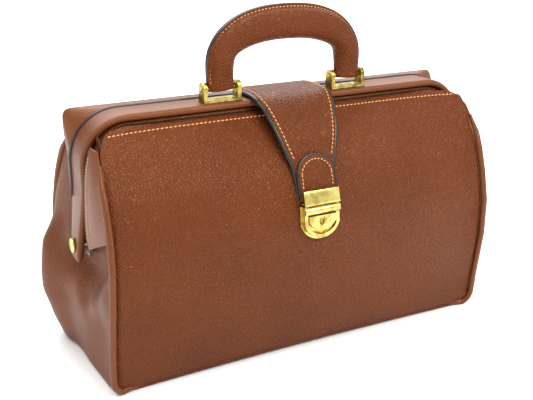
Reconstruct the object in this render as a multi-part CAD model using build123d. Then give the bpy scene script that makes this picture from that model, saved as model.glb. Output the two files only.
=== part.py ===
from build123d import *
import math
import os

# Doctor bag with a hinged double frame. Millimetres, +Z up, +X along the length and +Y to the back.
# The origin is the middle of the bottom, and the two jaws meet in the plane Y = 0.

# Driving dimensions
HALF_LENGTH = 170.0  # half the leather body's length
SKIN = 3.0  # leather with its backing
HINGE_Y = -8.0  # hinge axis, inside the front jaw's legs
HINGE_Z = 103.0
JAW_TOP = 203.0  # top face of both jaws
OPEN_ANGLE = 32.0  # how far each jaw opens

# The body's cross-section: a nearly straight lower wall, and a round shoulder above the widest level
WIDEST_Z = 100.0
WIDEST_Y = 73.5
WALL_RADIUS = 439.0
FRONT_SHOULDER_RADIUS = 119.4
REAR_SHOULDER_RADIUS = 104.8
CORNER_RADIUS = 8.0  # bottom edges, front and back
PANEL_CORNER = 14.0  # the front and back panels' round bottom corners
SKIN_TOP = 193.0  # the panels end here, under the jaws

# Jaws, seen from the front as a round-cornered U whose legs splay outwards at the hinge
JAW_CORNER = 37.0
JAW_HALF_WIDTH = 171.0
LEG_FOOT_HALF_WIDTH = 176.6
LEG_BOTTOM = 91.0
LEG_KNEE = 150.0
JAW_WALL = 8.0
COVER = 2.2  # leather over the steel
STRIP_WALL = 1.8
FRONT_DEPTH = 27.0
REAR_DEPTH = 15.0
SEAM_GAP = 0.4  # from the seam plane to each jaw

# Where the soft parts that fold are parted from those that keep their shape
LOWER_TOP = 60.0
GUSSET_LOWER_TOP = 78.0
LEG_CLEARANCE_Z = 88.5  # no gusset leather above this between the jaws' legs
FOLD_ANGLE = OPEN_ANGLE + 4.0
FREE_GAP = 0.3  # between soft parts of different bodies

PIPING_RADIUS = 3.0
PIPING_TOP = 168.0

# Strap
STRAP_THICKNESS = 3.8
STRAP_HALF_WIDTH = 33.0
STRAP_LEVEL = JAW_TOP + 0.4 + STRAP_THICKNESS / 2
STRAP_AXIS_Y = 3.0
STRAP_EDGE_Y = -31.0  # where the strap bends over the front jaw's edge
STRAP_BEND = 10.0
STRAP_LIFT = 0.6  # from the panel to the strap
STRAP_END_Z = 129.5
TAB_TOP_Z = 164.0
TAB_THICKNESS = 2.4
TAB_HALF_WIDTH = 16.3
PLATE_TOP_Z = 139.5
PLATE_THICKNESS = 1.8
PLATE_HALF_WIDTH = 15.6

# Lock
LOCK_Z = 112.0
LOCK_HALF_WIDTH = 17.0
LOCK_UP = 15.0  # from the lock's middle to its top
LOCK_DOWN = 12.5
SLIDE_TRAVEL = 3.0
CYLINDER_RADIUS = 3.0
RUNNING_GAP = 0.05

# Handle
PIVOT_Y = -18.0
PIVOT_Z = JAW_TOP + 10.5
HANDLE_TOP = 275.0
HANDLE_BAND = 28.0
HANDLE_DEPTH = 21.0
FOOT_HALF_WIDTH = 11.5
BRACKET_X = 56.5
BRACKET_WIDTH = 32.0
BRACKET_DEPTH = 12.0
BRACKET_PLATE = 2.0
POST_WIDTH = 3.55
PIN_RADIUS = 2.0

HINGE_PIN_RADIUS = 2.0
HINGE_HEAD_RADIUS = 5.5
PLATE_STEEL = 2.5
STRIP_BOTTOM = 116.5
FAR = 400.0  # longer than the bag in every direction

parts = {}


def box(x, y, z):
    """A box from its ranges along X, Y and Z."""
    size = [high - low for low, high in (x, y, z)]
    middle = [(high + low) / 2 for low, high in (x, y, z)]
    return Pos(*middle) * Box(*size)


def rod(start, end, radius):
    """A round rod between two points."""
    line = Vector(*end) - Vector(*start)
    return Plane(origin=start, z_dir=line) * Cylinder(
        radius, line.length, align=(Align.CENTER, Align.CENTER, Align.MIN)
    )


def add(name, *solids):
    """Keeps the solids as one node."""
    found = []
    for solid in solids:
        found += list(solid.solids()) if hasattr(solid, "solids") else list(solid)
    parts[name] = found[0] if len(found) == 1 else Compound(children=found)


# The body's cross-section


def shoulder_radius(side):
    return FRONT_SHOULDER_RADIUS if side < 0 else REAR_SHOULDER_RADIUS


def wall_y(side, z, inset=0.0):
    """Y of the body's wall at a height; side is -1 for the front and 1 for the back."""
    radius = shoulder_radius(side) if z > WIDEST_Z else WALL_RADIUS
    rise = z - WIDEST_Z
    return side * (WIDEST_Y - radius + math.sqrt((radius - inset) ** 2 - rise**2))


def wall_line(side, top, inset):
    """The wall's outline in the YZ plane, from the bottom's edge up to the top."""
    foot_y = wall_y(side, CORNER_RADIUS, inset)
    centre_y = foot_y - side * (CORNER_RADIUS - inset)
    turn = math.sqrt(0.5) * (CORNER_RADIUS - inset)
    points = [(centre_y, inset), (centre_y + side * turn, CORNER_RADIUS - turn), (foot_y, CORNER_RADIUS)]
    corner = ThreePointArc(*points)
    middle = (CORNER_RADIUS + WIDEST_Z) / 2
    lower = ThreePointArc(*[(wall_y(side, z, inset), z) for z in (CORNER_RADIUS, middle, WIDEST_Z)])
    middle = (WIDEST_Z + top) / 2
    upper = ThreePointArc(*[(wall_y(side, z, inset), z) for z in (WIDEST_Z, middle, top)])
    return [corner, lower, upper]


def body_prism(inset, half_length, top):
    """The body's cross-section up to the top, as a solid along X."""
    front = wall_line(-1, top, inset)
    back = wall_line(1, top, inset)
    roof = Line(front[2] @ 1, back[2] @ 1)
    floor = Line(front[0] @ 0, back[0] @ 0)
    face = make_face(front + back + [roof, floor])
    return extrude(Plane.YZ * face, amount=half_length, both=True)


def end_outline(inset, bottom=-20.0):
    """The body's outline seen from the front, with round top corners, as a solid along Y."""
    half = HALF_LENGTH - inset
    flat = HALF_LENGTH - JAW_CORNER
    radius = JAW_CORNER - inset
    level = JAW_TOP - JAW_CORNER
    turn = radius * math.sqrt(0.5)
    right = ThreePointArc((half, level), (flat + turn, level + turn), (flat, level + radius))
    left = ThreePointArc((-half, level), (-flat - turn, level + turn), (-flat, level + radius))
    face = make_face(
        [right, left, Line(right @ 1, left @ 1)]
        + [Line((half, bottom), right @ 0), Line((-half, bottom), left @ 0)]
        + [Line((-half, bottom), (half, bottom))]
    )
    return extrude(Plane.XZ * face, amount=FAR, both=True)


def wedge(side):
    """Everything on one side that lies above the fold line from the hinge."""
    reach = FAR * math.cos(math.radians(FOLD_ANGLE))
    rise = FAR * math.sin(math.radians(FOLD_ANGLE))
    face = make_face(
        Polyline(
            (HINGE_Y, HINGE_Z),
            (HINGE_Y + side * reach, HINGE_Z + rise),
            (HINGE_Y, HINGE_Z + FAR),
            close=True,
        )
    )
    return extrude(Plane.YZ * face, amount=FAR, both=True)


outer = body_prism(0, HALF_LENGTH, SKIN_TOP) & end_outline(0)
inner = body_prism(SKIN, HALF_LENGTH + 1, SKIN_TOP + 1)
wall_shell = (outer & end_outline(SKIN)) - inner
end_shell = (body_prism(PIPING_RADIUS, HALF_LENGTH, SKIN_TOP) & end_outline(0)) - end_outline(SKIN)
jaw_clearance = box((-FAR, FAR), (-FRONT_DEPTH - FREE_GAP, REAR_DEPTH + FREE_GAP), (LEG_CLEARANCE_Z, FAR))
lower_half = box((-FAR, FAR), (-FAR, FAR), (-10, LOWER_TOP))
lower_gusset = box((-FAR, FAR), (-FAR, FAR), (-10, GUSSET_LOWER_TOP))
left_side = box((-FAR, 0), (-FAR, FAR), (-10, FAR))
right_side = box((0, FAR), (-FAR, FAR), (-10, FAR))
front_side = box((-FAR, FAR), (-FAR, HINGE_Y), (-10, FAR))
rear_side = box((-FAR, FAR), (HINGE_Y, FAR), (-10, FAR))


def piping(side):
    """The piping round one panel: down one end, along the bottom edge and up the other end."""
    end_x = HALF_LENGTH - SKIN / 2
    low_z = PANEL_CORNER + PIPING_RADIUS
    levels = [(WIDEST_Z, (WIDEST_Z + PIPING_TOP) / 2, PIPING_TOP), (low_z, (low_z + WIDEST_Z) / 2, WIDEST_Z)]
    edges = []
    for end in (-1, 1):
        for heights in levels:
            points = [(end * end_x, wall_y(side, z, PIPING_RADIUS), z) for z in heights]
            edges.append(ThreePointArc(*points))
    down = -(edges[1] % 0)
    turn = math.sqrt(0.5)
    for end, arc in ((-1, edges[1]), (1, edges[3])):
        start = arc @ 0
        middle = start + Vector(-end * PANEL_CORNER * (1 - turn), 0, 0) + down * (PANEL_CORNER * turn)
        finish = start + Vector(-end * PANEL_CORNER, 0, 0) + down * PANEL_CORNER
        edges.append(ThreePointArc(start, middle, finish))
    edges.append(Line(edges[4] @ 1, edges[5] @ 1))
    path = Wire([e.edge() for e in edges])
    section = Plane(origin=edges[0] @ 1, z_dir=edges[0] % 1) * Circle(PIPING_RADIUS)
    return sweep(section, path=path)


front_cord = piping(-1)
rear_cord = piping(1)
cords = front_cord + rear_cord
wall_shell = wall_shell - cords - jaw_clearance
end_shell = end_shell - cords - jaw_clearance

# Lower body
floor_half_depth = -wall_y(-1, CORNER_RADIUS) - CORNER_RADIUS
floor_band = box((-FAR, FAR), (-floor_half_depth, floor_half_depth), (-10, SKIN + 1))
lower_walls = (wall_shell & lower_half) - floor_band
add("bottom_panel", wall_shell & floor_band)
add("front_lower_panel", lower_walls & front_side)
add("rear_lower_panel", lower_walls & rear_side)
add("left_gusset", end_shell & lower_gusset & left_side)
add("right_gusset", end_shell & lower_gusset & right_side)
add("front_piping", front_cord & lower_half)
add("rear_piping", rear_cord & lower_half)
board_half_length = HALF_LENGTH - SKIN - 2
board_half_depth = floor_half_depth - 1
add(
    "base_board",
    box((-board_half_length, board_half_length), (-board_half_depth, board_half_depth), (SKIN + 0.2, SKIN + 3.2)),
)

# Leather that folds between the lower body and each jaw, and leather that a jaw carries
for name, side, half in (("front", -1, front_side), ("rear", 1, rear_side)):
    above = wedge(side)
    wall_rest = (wall_shell - lower_half) & half
    end_rest = (end_shell - lower_gusset) & half
    cord_rest = (cords - lower_half) & half
    add(name + "_panel_fold", wall_rest - above)
    add(name + "_gusset_folds", end_rest - above)
    add(name + "_piping_folds", cord_rest - above)
    add(name + "_upper_panel", wall_rest & above)
    add(name + "_upper_gussets", end_rest & above)
    add(name + "_upper_piping", cord_rest & above)


# Jaws


def jaw_face(inset, bottom):
    """The area inside the jaw's outline, seen from the front."""
    top = JAW_TOP - inset
    radius = JAW_CORNER - inset
    level = JAW_TOP - JAW_CORNER
    flat = JAW_HALF_WIDTH - JAW_CORNER
    knee = JAW_HALF_WIDTH - inset
    slope = (LEG_FOOT_HALF_WIDTH - JAW_HALF_WIDTH) / (LEG_KNEE - LEG_BOTTOM)
    foot = knee + slope * (LEG_KNEE - bottom)
    turn = radius * math.sqrt(0.5)
    lines = []
    for sign in (-1, 1):
        lines += [
            Line((sign * foot, bottom), (sign * knee, LEG_KNEE)),
            Line((sign * knee, LEG_KNEE), (sign * knee, level)),
            ThreePointArc(
                (sign * knee, level), (sign * (flat + turn), level + turn), (sign * flat, level + radius)
            ),
        ]
    lines += [Line((-flat, top), (flat, top)), Line((-foot, bottom), (foot, bottom))]
    return make_face(lines)


def jaw_band(start, end, low_y, high_y, bottom):
    """A U band between two insets from the jaw's outline, over a range of Y."""
    face = jaw_face(start, bottom) - jaw_face(end, bottom - 1)
    return extrude(Plane.XZ.offset(-high_y) * face, amount=high_y - low_y)


def hinge_holes(radius):
    """Bores through both legs on the hinge axis."""
    reach = LEG_FOOT_HALF_WIDTH + 10
    return rod((-reach, HINGE_Y, HINGE_Z), (reach, HINGE_Y, HINGE_Z), radius)


NOTCH_HALF_WIDTH = STRAP_HALF_WIDTH + 1
NOTCH_DEPTH = 4.0
anchor_notch = box(
    (-NOTCH_HALF_WIDTH, NOTCH_HALF_WIDTH), (SEAM_GAP, SEAM_GAP + NOTCH_DEPTH), (JAW_TOP - JAW_WALL, JAW_TOP + 1)
)
strap_seat = extrude(
    Plane.YZ
    * make_face(
        Polyline(
            (-FRONT_DEPTH - 1, JAW_TOP - 4.4),
            (-FRONT_DEPTH - 1, JAW_TOP + 1),
            (-18.4, JAW_TOP + 1),
            close=True,
        )
    ),
    amount=NOTCH_HALF_WIDTH,
    both=True,
)
leg_holes = hinge_holes(HINGE_PIN_RADIUS + RUNNING_GAP)


def heel_clearance(side):
    """The wedge cut off the back of a leg below the hinge, so that the legs clear each other when open."""
    top = HINGE_Z + 1
    bottom = LEG_BOTTOM - 3
    reach = (top - bottom) * math.tan(math.radians(OPEN_ANGLE + 2))
    face = make_face(Polyline((0, top), (side * reach, bottom), (0, bottom), close=True))
    return extrude(Plane.YZ * face, amount=FAR, both=True)


for name, low_y, high_y in (("front", -FRONT_DEPTH, -SEAM_GAP), ("rear", SEAM_GAP, REAR_DEPTH)):
    steel = jaw_band(COVER, JAW_WALL - COVER, low_y + COVER, high_y - COVER, LEG_BOTTOM - 1.5)
    cover = jaw_band(0, JAW_WALL, low_y, high_y, LEG_BOTTOM) - steel
    strip = jaw_band(JAW_WALL, JAW_WALL + STRIP_WALL, low_y + 1, high_y - 1, STRIP_BOTTOM)
    cut = leg_holes + heel_clearance(-1) + strap_seat if name == "front" else anchor_notch + heel_clearance(1)
    add(name + "_frame", steel - cut)
    add(name + "_jaw_cover", cover - cut)
    add(name + "_frame_strip", strip)
add(
    "strap_anchor",
    box(
        (-STRAP_HALF_WIDTH, STRAP_HALF_WIDTH),
        (SEAM_GAP + FREE_GAP, SEAM_GAP + NOTCH_DEPTH - FREE_GAP),
        (JAW_TOP - JAW_WALL + FREE_GAP, JAW_TOP - 0.1),
    ),
)

# Hinge: a brass rivet through each front leg and through the rear frame's hinge plate behind it
PLATE_X = 166.0  # outer face of the hinge plates
RIVET_FACE_X = 176.0  # under the rivets' heads
HEAD_THICKNESS = 1.3
WASHER_THICKNESS = 1.6
washer_x = PLATE_X - PLATE_STEEL - 0.2
plates = []
rivets = []
washers = []
plate_pins = []
for side in (-1, 1):
    plate = box(
        sorted((side * (PLATE_X - PLATE_STEEL), side * PLATE_X)),
        (HINGE_Y - 8, REAR_DEPTH - 3),
        (HINGE_Z - 8, HINGE_Z + 8),
    )
    for pin_z in (HINGE_Z - 4, HINGE_Z + 4):
        pin = rod((side * (PLATE_X - PLATE_STEEL - 1), 8, pin_z), (side * 172, 8, pin_z), 1.5)
        plate_pins.append(pin)
        plate = plate - pin
        parts["rear_jaw_cover"] = parts["rear_jaw_cover"] - pin
        parts["rear_frame"] = parts["rear_frame"] - pin
    plates.append(plate - leg_holes)
    inner_x = washer_x - WASHER_THICKNESS - 0.1
    shank = rod((side * inner_x, HINGE_Y, HINGE_Z), (side * RIVET_FACE_X, HINGE_Y, HINGE_Z), HINGE_PIN_RADIUS)
    head = rod(
        (side * RIVET_FACE_X, HINGE_Y, HINGE_Z),
        (side * (RIVET_FACE_X + HEAD_THICKNESS), HINGE_Y, HINGE_Z),
        HINGE_HEAD_RADIUS,
    )
    tail_head = rod(
        (side * (inner_x - 1.2), HINGE_Y, HINGE_Z), (side * inner_x, HINGE_Y, HINGE_Z), HINGE_PIN_RADIUS + 1.5
    )
    rivets.append(shank + head + tail_head)
    washer = rod(
        (side * (washer_x - WASHER_THICKNESS), HINGE_Y, HINGE_Z), (side * washer_x, HINGE_Y, HINGE_Z), 5.0
    )
    washers.append(washer - leg_holes)
add("hinge_plates", *plates)
add("hinge_plate_pins", *plate_pins)
add("hinge_rivets", *rivets)
add("hinge_washers", *washers)


# Handle brackets on the front jaw
def bracket(side):
    """A base plate with two round-topped posts."""
    x = side * BRACKET_X
    half = BRACKET_WIDTH / 2
    low_y, high_y = PIVOT_Y - BRACKET_DEPTH / 2, PIVOT_Y + BRACKET_DEPTH / 2
    solid = box((x - half, x + half), (low_y, high_y), (JAW_TOP, JAW_TOP + BRACKET_PLATE))
    for end in (-1, 1):
        outer_x = x + end * half
        inner_x = outer_x - end * POST_WIDTH
        post = box(sorted((inner_x, outer_x)), (low_y + 1, high_y - 1), (JAW_TOP, PIVOT_Z))
        post = post + rod((inner_x, PIVOT_Y, PIVOT_Z), (outer_x, PIVOT_Y, PIVOT_Z), BRACKET_DEPTH / 2 - 1)
        solid = solid + post
    return solid


def bracket_pin(side):
    """The pin that carries one end of the handle."""
    half = BRACKET_WIDTH / 2 + 0.8
    x = side * BRACKET_X
    return rod((x - half, PIVOT_Y, PIVOT_Z), (x + half, PIVOT_Y, PIVOT_Z), PIN_RADIUS)


pin_bore = rod((-100, PIVOT_Y, PIVOT_Z), (100, PIVOT_Y, PIVOT_Z), PIN_RADIUS + RUNNING_GAP)
screws = []
for side in (-1, 1):
    for offset in (-7, 7):
        x = side * BRACKET_X + offset
        screw = rod((x, PIVOT_Y, JAW_TOP - 6), (x, PIVOT_Y, JAW_TOP + BRACKET_PLATE), 1.3)
        screws.append(screw)
        for name in ("front_jaw_cover", "front_frame"):
            parts[name] = parts[name] - screw
left_bracket = bracket(-1) - pin_bore
right_bracket = bracket(1) - pin_bore
for screw in screws:
    left_bracket = left_bracket - screw
    right_bracket = right_bracket - screw
add("left_bracket", left_bracket)
add("right_bracket", right_bracket)
add("bracket_pins", bracket_pin(-1), bracket_pin(1))
add("bracket_screws", *screws)


# Handle
def handle_face(inset):
    """The handle seen from the front."""
    outer_x = BRACKET_X + FOOT_HALF_WIDTH - inset
    inner_x = BRACKET_X - FOOT_HALF_WIDTH + inset
    low, bend = PIVOT_Z - 10, PIVOT_Z + 17
    top = HANDLE_TOP - inset
    under = HANDLE_TOP - HANDLE_BAND + inset
    lines = []
    for sign in (-1, 1):
        lines += [
            Line((sign * outer_x, low), (sign * outer_x, bend)),
            ThreePointArc((sign * outer_x, bend), (sign * (outer_x - 9), top - 15.5), (sign * 37, top - 3.5)),
            Line((sign * inner_x, low), (sign * inner_x, bend - 3)),
            ThreePointArc(
                (sign * inner_x, bend - 3), (sign * (inner_x - 3.8), under - 7.2), (sign * 31, under - 2)
            ),
            Line((sign * inner_x, low), (sign * outer_x, low)),
        ]
    lines += [
        ThreePointArc((-37, top - 3.5), (0, top), (37, top - 3.5)),
        ThreePointArc((-31, under - 2), (0, under), (31, under - 2)),
    ]
    return make_face(lines)


def handle_side(inset, bottom):
    """The handle seen from the end: thin feet, then the full roll."""
    foot = 6.5 - inset
    full = HANDLE_DEPTH / 2 - inset
    face = make_face(
        Polyline(
            (PIVOT_Y - foot, bottom),
            (PIVOT_Y - foot, PIVOT_Z + 6),
            (PIVOT_Y - full, PIVOT_Z + 13),
            (PIVOT_Y - full, HANDLE_TOP + 1),
            (PIVOT_Y + full, HANDLE_TOP + 1),
            (PIVOT_Y + full, PIVOT_Z + 13),
            (PIVOT_Y + foot, PIVOT_Z + 6),
            (PIVOT_Y + foot, bottom),
            close=True,
        )
    )
    return extrude(Plane.YZ * face, amount=100, both=True)


def handle_solid(inset, bottom):
    return extrude(Plane.XZ * handle_face(inset), amount=50, both=True) & handle_side(inset, bottom)


feet = rod((-100, PIVOT_Y, PIVOT_Z), (100, PIVOT_Y, PIVOT_Z), 6.5) & extrude(
    Plane.XZ * handle_face(0), amount=50, both=True
)
core = handle_solid(3.0, PIVOT_Z + 8)
add("handle_core", core)
add("handle_cover", handle_solid(0.0, PIVOT_Z) + feet - core - pin_bore)

# Strap: over the front jaw's edge, then down the round shoulder
shoulder_centre = (FRONT_SHOULDER_RADIUS - WIDEST_Y, WIDEST_Z)


def shoulder_point(z, lift):
    """A point in the YZ plane that stands off the front shoulder."""
    radius = FRONT_SHOULDER_RADIUS + lift
    return (shoulder_centre[0] - math.sqrt(radius**2 - (z - WIDEST_Z) ** 2), z)


def shoulder_band(low_z, high_z, low_lift, high_lift, half_width):
    """A curved plate that follows the front shoulder."""
    middle = (low_z + high_z) / 2
    inner_arc = ThreePointArc(*[shoulder_point(z, low_lift) for z in (low_z, middle, high_z)])
    outer_arc = ThreePointArc(*[shoulder_point(z, high_lift) for z in (low_z, middle, high_z)])
    sides = [Line(inner_arc @ 0, outer_arc @ 0), Line(inner_arc @ 1, outer_arc @ 1)]
    return extrude(Plane.YZ * make_face([inner_arc, outer_arc] + sides), amount=half_width, both=True)


def strap_path():
    """The strap's middle line in the YZ plane."""
    radius = FRONT_SHOULDER_RADIUS + STRAP_LIFT + STRAP_THICKNESS / 2
    away = (STRAP_EDGE_Y - shoulder_centre[0], STRAP_LEVEL - shoulder_centre[1])
    distance = math.hypot(*away)
    angle = math.atan2(away[1], away[0]) + math.acos(radius / distance)
    touch = (shoulder_centre[0] + radius * math.cos(angle), shoulder_centre[1] + radius * math.sin(angle))
    lift = STRAP_LIFT + STRAP_THICKNESS / 2
    end = shoulder_point(STRAP_END_Z, lift)
    middle = shoulder_point((touch[1] + STRAP_END_Z) / 2, lift)
    over = FilletPolyline((STRAP_AXIS_Y, STRAP_LEVEL), (STRAP_EDGE_Y, STRAP_LEVEL), touch, radius=STRAP_BEND)
    return Plane.YZ * Wire(list(over.edges()) + [ThreePointArc(touch, middle, end).edge()])


def front_prism(points):
    """A shape drawn in the XZ plane, as a solid along Y."""
    return extrude(Plane.XZ * make_face(Polyline(*points, close=True)), amount=FAR, both=True)


strap_halves = [(33.0, 260), (33.0, 203), (31.0, 199), (28.5, 190), (23.5, 172), (18.5, 157), (16.5, 143), (16.0, 120)]
strap_outline = front_prism(strap_halves + [(-x, z) for x, z in reversed(strap_halves)])
path = strap_path()
strap_section = Plane(origin=path @ 0, x_dir=(1, 0, 0), z_dir=path % 0) * Rectangle(
    2 * STRAP_HALF_WIDTH, STRAP_THICKNESS
)
strap = sweep(strap_section, path=path)
knuckle = rod(
    (-STRAP_HALF_WIDTH, STRAP_AXIS_Y, STRAP_LEVEL),
    (STRAP_HALF_WIDTH, STRAP_AXIS_Y, STRAP_LEVEL),
    STRAP_THICKNESS / 2,
)
strap = (strap + knuckle) & strap_outline
strap_face = STRAP_LIFT + STRAP_THICKNESS
tab_face = strap_face + TAB_THICKNESS
tab = shoulder_band(STRAP_END_Z, TAB_TOP_Z, strap_face, tab_face, TAB_HALF_WIDTH)
round_top = Plane.XZ * (
    Pos(0, TAB_TOP_Z - TAB_HALF_WIDTH) * Circle(TAB_HALF_WIDTH)
    + Pos(0, TAB_TOP_Z - TAB_HALF_WIDTH - 20) * Rectangle(2 * TAB_HALF_WIDTH, 40)
)
tab = tab & extrude(round_top, amount=FAR, both=True)
lip_bottom = STRAP_END_Z - 0.9
plate = shoulder_band(lip_bottom, PLATE_TOP_Z, tab_face, tab_face + PLATE_THICKNESS, PLATE_HALF_WIDTH)
lip = shoulder_band(lip_bottom, STRAP_END_Z + 0.5, STRAP_LIFT + 0.5, tab_face, PLATE_HALF_WIDTH)
add("strap", strap)
add("strap_tab", tab)

# Lock, drawn flat on the plane that touches the front shoulder at its middle
tilt = math.asin((LOCK_Z - WIDEST_Z) / FRONT_SHOULDER_RADIUS)
lock_y, _ = shoulder_point(LOCK_Z, 0)
lock_plane = Plane(origin=(0, lock_y, LOCK_Z), x_dir=(1, 0, 0), z_dir=(0, -math.cos(tilt), math.sin(tilt)))


def shield(inset, top, shift=0.0):
    """The lock's outline: straight sides and a round bottom."""
    half = LOCK_HALF_WIDTH - inset
    bottom = -LOCK_DOWN + inset + shift
    sides = Polyline((half, shift), (half, top), (-half, top), (-half, shift))
    return make_face([*sides.edges(), ThreePointArc((half, shift), (0, bottom), (-half, shift)).edge()])


def lock_piece(face, low, high):
    """A lock piece between two heights above the leather."""
    return lock_plane * (Pos(0, 0, low) * extrude(face, amount=high - low))


BACK_PLATE_TOP = 1.8
CASE_TOP = 6.0
CASE_INSET = 1.5
CASE_WALL = 3.0
SLIDER_LOW = 4.4
SLIDER_HIGH = 7.2
SLIDER_TOP_Y = 7.3
KEY_Y = 2.6
BAR_Y = 11.4
BAR_RADIUS = 3.7
INNER_PLATE = (-5.4, -3.9)
TONGUE_HALF_WIDTH = 7.0
tongue = lock_piece(Pos(0, 11.5) * Rectangle(2 * TONGUE_HALF_WIDTH, 10.5), 2.2, 3.6)
add("strap_plate", (plate + lip + tongue) - strap - tab)
stud_spots = [(x, y) for x in (-10, 10) for y in (-4, 9)]
studs = Sketch() + [Pos(x, y) * Circle(1.4) for x, y in stud_spots]
stud_holes = Sketch() + [Pos(x, y) * Circle(1.5) for x, y in stud_spots]
add(
    "lock_back_plate",
    lock_piece(shield(0, LOCK_UP), 0.15, BACK_PLATE_TOP) + lock_piece(studs, INNER_PLATE[0] - 0.8, 0.5),
)
parts["front_panel_fold"] = parts["front_panel_fold"] - lock_piece(stud_holes, -10, 3)
inner_plate = lock_piece(Pos(0, 2) * Rectangle(28, 22), *INNER_PLATE)
add("lock_inner_plate", inner_plate - lock_piece(stud_holes, -10, 3))
ring = shield(CASE_INSET, LOCK_UP) - shield(CASE_INSET + CASE_WALL, LOCK_UP + 1)
add("lock_case", lock_piece(ring, BACK_PLATE_TOP, CASE_TOP))
bar_half = LOCK_HALF_WIDTH - CASE_INSET
bar = lock_plane * (
    Pos(0, BAR_Y, SLIDER_LOW) * Rot(0, 90, 0) * Cylinder(BAR_RADIUS, 2 * bar_half)
) & lock_piece(Rectangle(60, 60), SLIDER_LOW, 20)
add("lock_bar", bar - parts["lock_case"])
slider_gap = 0.2
slider = lock_piece(
    shield(CASE_INSET + CASE_WALL + slider_gap, SLIDER_TOP_Y, SLIDE_TRAVEL + slider_gap), SLIDER_LOW, SLIDER_HIGH
)
key_spot = Pos(0, KEY_Y)
add("lock_slider", slider - lock_piece(key_spot * Circle(CYLINDER_RADIUS + RUNNING_GAP), 0, 20))
key_slot = key_spot * Rectangle(1.0, 3.6)
cylinder = lock_piece(key_spot * Circle(CYLINDER_RADIUS), SLIDER_LOW - 1, SLIDER_HIGH + 0.3)
add("lock_cylinder", cylinder - lock_piece(key_slot, SLIDER_HIGH - 1.5, 20))

os.makedirs("parts", exist_ok=True)
for name, solid in parts.items():
    export_step(solid, f"parts/{name}.step")
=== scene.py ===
import math

import bmesh
import bpy
import numpy as np
from mathutils import Matrix, Vector


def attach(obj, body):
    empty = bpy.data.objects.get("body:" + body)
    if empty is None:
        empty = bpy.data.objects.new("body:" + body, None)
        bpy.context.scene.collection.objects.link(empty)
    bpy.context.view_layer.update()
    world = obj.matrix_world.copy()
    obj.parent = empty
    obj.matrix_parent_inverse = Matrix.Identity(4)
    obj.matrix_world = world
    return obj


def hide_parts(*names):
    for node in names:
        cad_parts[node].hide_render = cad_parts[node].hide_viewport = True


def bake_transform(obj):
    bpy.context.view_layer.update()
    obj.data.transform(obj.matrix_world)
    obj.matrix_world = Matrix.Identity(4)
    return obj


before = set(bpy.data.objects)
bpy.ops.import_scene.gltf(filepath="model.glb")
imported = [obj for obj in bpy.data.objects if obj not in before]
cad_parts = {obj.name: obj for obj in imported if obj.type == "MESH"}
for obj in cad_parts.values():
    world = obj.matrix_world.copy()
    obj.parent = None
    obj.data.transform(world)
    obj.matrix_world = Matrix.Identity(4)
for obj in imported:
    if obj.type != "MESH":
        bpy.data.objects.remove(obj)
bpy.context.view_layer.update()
MM = 0.001
SIDES = ((-1, "front"), (1, "rear"))
HANDS = ((-1, "left"), (1, "right"))

# ---------------------------------------------------------------- materials

WARM_SHEEN = (1.0, 0.68, 0.42, 1.0)


def linear(r, g, b):
    """An sRGB colour, 0 to 255, as linear RGBA."""
    out = []
    for c in (r, g, b):
        c /= 255.0
        out.append(c / 12.92 if c <= 0.04045 else ((c + 0.055) / 1.055) ** 2.4)
    return (*out, 1.0)


def new_material(name):
    mat = bpy.data.materials.new(name)
    mat.use_nodes = True
    tree = mat.node_tree
    bsdf = tree.nodes["Principled BSDF"]
    place = tree.nodes.new("ShaderNodeTexCoord").outputs["Object"]
    return mat, tree, bsdf, place


def noise_texture(tree, place, scale, detail):
    node = tree.nodes.new("ShaderNodeTexNoise")
    node.inputs["Scale"].default_value = scale
    node.inputs["Detail"].default_value = detail
    tree.links.new(place, node.inputs["Vector"])
    return node


def tone_ramp(tree, source, low, high, dark=(0, 0, 0, 1), light=(1, 1, 1, 1)):
    """Colours from dark to light as the source goes from low to high."""
    node = tree.nodes.new("ShaderNodeValToRGB")
    first, last = node.color_ramp.elements
    first.position, first.color = low, dark
    last.position, last.color = high, light
    tree.links.new(source, node.inputs["Fac"])
    return node


def relief(tree, bsdf, height, strength, distance):
    """Bump from a height, on the shader's normal."""
    bump = tree.nodes.new("ShaderNodeBump")
    bump.inputs["Strength"].default_value = strength
    bump.inputs["Distance"].default_value = distance
    tree.links.new(height, bump.inputs["Height"])
    tree.links.new(bump.outputs["Normal"], bsdf.inputs["Normal"])


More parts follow.
